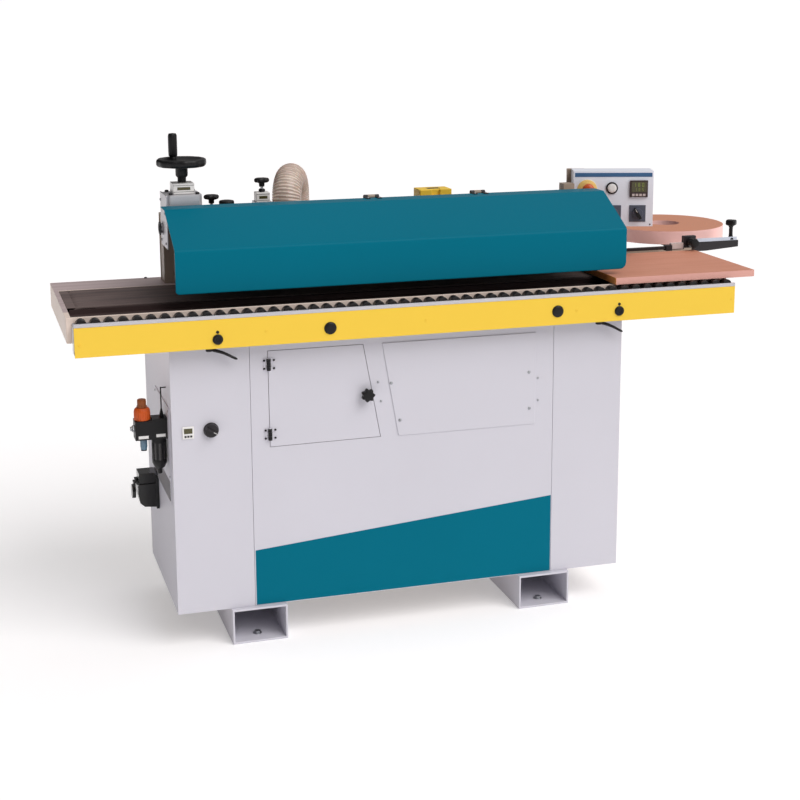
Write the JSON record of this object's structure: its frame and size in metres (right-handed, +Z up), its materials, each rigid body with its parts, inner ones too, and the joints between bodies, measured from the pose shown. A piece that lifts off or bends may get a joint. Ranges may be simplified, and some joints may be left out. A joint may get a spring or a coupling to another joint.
{
  "type": "edge banding machine",
  "caption": "Floor-standing edge banding machine: belt-fed panel table under a sloped teal hood, sliding roller support, control box and tape roll tray over a sheet-metal cabinet.",
  "frame": {"origin": "on the floor under the middle of the whole machine, its handwheel, tape roll and loaded panel included", "axes": "+X along the feed line to the right of a person who faces the yellow front strip (panels go in at +X and leave at -X), +Y from that person towards the machine's back, +Z up"},
  "size_m": [2.12, 0.836, 1.34],
  "materials": {
    "paint_grey": "satin fine-textured light grey paint",
    "paint_inner": "satin grey-beige paint",
    "paint_frame": "satin light beige paint",
    "paint_teal": "gloss teal paint",
    "paint_yellow": "satin yellow paint",
    "paint_carrier": "satin tan paint",
    "paint_box": "satin pale blue-grey paint",
    "paint_dark": "satin dark grey paint",
    "black_plastic": "matt black plastic",
    "white_plastic": "white plastic",
    "orange_plastic": "orange plastic",
    "red_plastic": "orange-red plastic",
    "smoke_plastic": "dark smoked plastic",
    "belt_rubber": "worn brown-grey ribbed rubber",
    "wheel_rubber": "black rubber",
    "hose_plastic": "translucent beige spiral hose",
    "steel": "ground steel",
    "alu": "bead-blasted aluminium",
    "tape_pvc": "salmon edge tape",
    "board_wood": "salmon faced chipboard"
  },
  "bodies": {
    "machine_frame": {"foot_tube_left": "paint_grey", "foot_tube_right": "paint_grey", "cabinet_body": "paint_inner", "left_column": "paint_grey", "right_column": "paint_grey", "front_panel": "paint_grey", "service_panel": "paint_grey", "door_hinge_lower": "black_plastic", "door_hinge_upper": "black_plastic", "table_frame": "paint_frame", "table_bed": "paint_dark", "conveyor_belt": "belt_rubber", "unit_carrier": "paint_carrier", "lift_housing": "alu", "lift_counter": "white_plastic", "trim_unit": "alu", "scraper_unit": "alu", "scraper_counter": "white_plastic", "dust_hose": "hose_plastic", "guillotine_unit": "alu", "guillotine_cap": "paint_yellow", "heater_unit": "paint_dark", "control_box": "paint_box", "tape_guide": "paint_dark", "air_unit": "black_plastic", "filter_bowl": "smoke_plastic", "power_inlet": "black_plastic"},
    "front_support": {"support_rail": "alu", "yellow_fascia": "paint_yellow", "support_rollers": "black_plastic"},
    "lever_left": {"clamp_lever_left": "black_plastic"},
    "lever_right": {"clamp_lever_right": "black_plastic"},
    "hood_cover": {"hood": "paint_teal"},
    "beam": {"pressure_beam": "paint_inner"},
    "press_wheel_1": {"pressure_wheel_1": "wheel_rubber"},
    "press_wheel_2": {"pressure_wheel_2": "wheel_rubber"},
    "press_wheel_3": {"pressure_wheel_3": "wheel_rubber"},
    "press_wheel_4": {"pressure_wheel_4": "wheel_rubber"},
    "lift_wheel": {"handwheel": "black_plastic"},
    "lift_grip": {"handwheel_grip": "black_plastic"},
    "trim_setter_tall": {"trim_knob_tall": "black_plastic"},
    "trim_setter_low": {"trim_knob_low": "black_plastic"},
    "scraper_setter": {"scraper_knob": "black_plastic"},
    "tape_spool": {"tape_tray": "paint_dark", "tape_roll": "tape_pvc"},
    "guide_clamp": {"tape_guide_knob": "black_plastic"},
    "guide_setter": {"tape_guide_screw": "black_plastic"},
    "stop_button": {"emergency_stop": "red_plastic"},
    "run_button": {"start_button": "white_plastic"},
    "switch_left": {"selector_left": "black_plastic"},
    "switch_right": {"selector_right": "black_plastic"},
    "door": {"access_door": "paint_grey"},
    "door_latch": {"door_knob": "black_plastic"},
    "air_setter": {"regulator_knob": "orange_plastic"},
    "speed_setter": {"speed_knob": "black_plastic"},
    "socket_lid": {"inlet_lid": "black_plastic"},
    "belt_drive": {"drive_drum": "steel"},
    "belt_idler": {"idler_drum": "steel"},
    "tape_presser": {"tape_press_roller": "steel"},
    "workpiece": {"workpiece_panel": "board_wood"}
  },
  "joints": [
    {"name": "front_support_slide", "type": "slide", "parent": "machine_frame", "child": "front_support", "axis": [0, -1, 0], "range_m": [0, 0.3]},
    {"name": "lever_left_turn", "type": "hinge", "parent": "front_support", "child": "lever_left", "pos_m": [-0.706, -0.394, 0.815], "axis": [0, 0, 1], "range_deg": [-80, 0]},
    {"name": "lever_right_turn", "type": "hinge", "parent": "front_support", "child": "lever_right", "pos_m": [0.376, -0.394, 0.815], "axis": [0, 0, 1], "range_deg": [-80, 0]},
    {"name": "hood_swing", "type": "hinge", "parent": "machine_frame", "child": "hood_cover", "pos_m": [-0.045, -0.112, 1.157], "axis": [-1, 0, 0], "range_deg": [0, 75]},
    {"name": "handwheel_spin", "type": "hinge", "parent": "machine_frame", "child": "lift_wheel", "pos_m": [-0.711, -0.063, 1.24], "axis": [0, 0, 1], "range_deg": [0, 2870]},
    {"name": "beam_lift", "type": "slide", "parent": "machine_frame", "child": "beam", "axis": [0, 0, 1], "range_m": [0, 0.04]},
    {"name": "grip_spin", "type": "hinge", "parent": "lift_wheel", "child": "lift_grip", "pos_m": [-0.7255, -0.014, 1.3], "axis": [0, 0, 1], "continuous": true},
    {"name": "press_wheel_1_spin", "type": "hinge", "parent": "beam", "child": "press_wheel_1", "pos_m": [-0.625, -0.168, 0.9712], "axis": [0, 1, 0], "continuous": true},
    {"name": "press_wheel_2_spin", "type": "hinge", "parent": "beam", "child": "press_wheel_2", "pos_m": [-0.305, -0.168, 0.9712], "axis": [0, 1, 0], "continuous": true},
    {"name": "press_wheel_3_spin", "type": "hinge", "parent": "beam", "child": "press_wheel_3", "pos_m": [0.015, -0.168, 0.9712], "axis": [0, 1, 0], "continuous": true},
    {"name": "press_wheel_4_spin", "type": "hinge", "parent": "beam", "child": "press_wheel_4", "pos_m": [0.335, -0.168, 0.9712], "axis": [0, 1, 0], "continuous": true},
    {"name": "trim_tall_turn", "type": "hinge", "parent": "machine_frame", "child": "trim_setter_tall", "pos_m": [-0.624, -0.014, 1.15], "axis": [0, 0, 1], "continuous": true},
    {"name": "trim_low_turn", "type": "hinge", "parent": "machine_frame", "child": "trim_setter_low", "pos_m": [-0.582, -0.014, 1.14], "axis": [0, 0, 1], "continuous": true},
    {"name": "scraper_turn", "type": "hinge", "parent": "machine_frame", "child": "scraper_setter", "pos_m": [-0.482, -0.014, 1.19], "axis": [0, 0, 1], "continuous": true},
    {"name": "tape_spool_spin", "type": "hinge", "parent": "machine_frame", "child": "tape_spool", "pos_m": [0.872, 0.23, 0.965], "axis": [0, 0, 1], "continuous": true},
    {"name": "guide_clamp_turn", "type": "hinge", "parent": "machine_frame", "child": "guide_clamp", "pos_m": [0.841, -0.028, 0.964], "axis": [0, 1, 0], "continuous": true},
    {"name": "guide_setter_turn", "type": "hinge", "parent": "machine_frame", "child": "guide_setter", "pos_m": [0.983, -0.011, 0.99], "axis": [0, 0, 1], "continuous": true},
    {"name": "stop_button_press", "type": "slide", "parent": "machine_frame", "child": "stop_button", "axis": [0.2957, 0.9553, 0], "range_m": [0, 0.004], "stiffness_N_per_m": 1500, "springref_m": -0.002},
    {"name": "run_button_press", "type": "slide", "parent": "machine_frame", "child": "run_button", "axis": [0.2957, 0.9553, 0], "range_m": [0, 0.003], "stiffness_N_per_m": 1000, "springref_m": -0.002},
    {"name": "switch_left_turn", "type": "hinge", "parent": "machine_frame", "child": "switch_left", "pos_m": [0.54083, -0.111, 1.0756], "axis": [0.2957, 0.9553, 0], "range_deg": [-45, 45]},
    {"name": "switch_right_turn", "type": "hinge", "parent": "machine_frame", "child": "switch_right", "pos_m": [0.60961, -0.13229, 1.0756], "axis": [0.2957, 0.9553, 0], "range_deg": [-45, 45]},
    {"name": "door_swing", "type": "hinge", "parent": "machine_frame", "child": "door", "pos_m": [-0.5472, -0.371, 0.66], "axis": [0, 0, -1], "range_deg": [0, 110]},
    {"name": "door_latch_turn", "type": "hinge", "parent": "door", "child": "door_latch", "pos_m": [-0.283, -0.378, 0.662], "axis": [0, 1, 0], "range_deg": [-90, 0]},
    {"name": "air_setter_turn", "type": "hinge", "parent": "machine_frame", "child": "air_setter", "pos_m": [-0.8695, -0.283, 0.646], "axis": [0, 0, 1], "continuous": true},
    {"name": "speed_setter_turn", "type": "hinge", "parent": "machine_frame", "child": "speed_setter", "pos_m": [-0.703, -0.378, 0.598], "axis": [0, 1, 0], "range_deg": [-135, 135]},
    {"name": "socket_lid_swing", "type": "hinge", "parent": "machine_frame", "child": "socket_lid", "pos_m": [-0.864, -0.038, 0.3746], "axis": [0, 1, 0], "range_deg": [0, 100]},
    {"name": "drive_drum_spin", "type": "hinge", "parent": "machine_frame", "child": "belt_drive", "pos_m": [-1.011, -0.1305, 0.891], "axis": [0, 1, 0], "continuous": true},
    {"name": "idler_drum_spin", "type": "hinge", "parent": "machine_frame", "child": "belt_idler", "pos_m": [0.719, -0.1305, 0.891], "axis": [0, 1, 0], "continuous": true},
    {"name": "tape_presser_spin", "type": "hinge", "parent": "machine_frame", "child": "tape_presser", "pos_m": [0.177, -0.0068, 0.946], "axis": [0, 0, 1], "continuous": true},
    {"name": "workpiece_feed", "type": "slide", "parent": "machine_frame", "child": "workpiece", "axis": [-1, 0, 0], "range_m": [0, 1.4]}
  ],
  "couplings": [
    {"joint": "beam_lift", "follows": "handwheel_spin", "m_per_rad": 0.00079577},
    {"joint": "idler_drum_spin", "follows": "drive_drum_spin", "ratio": 1}
  ]
}
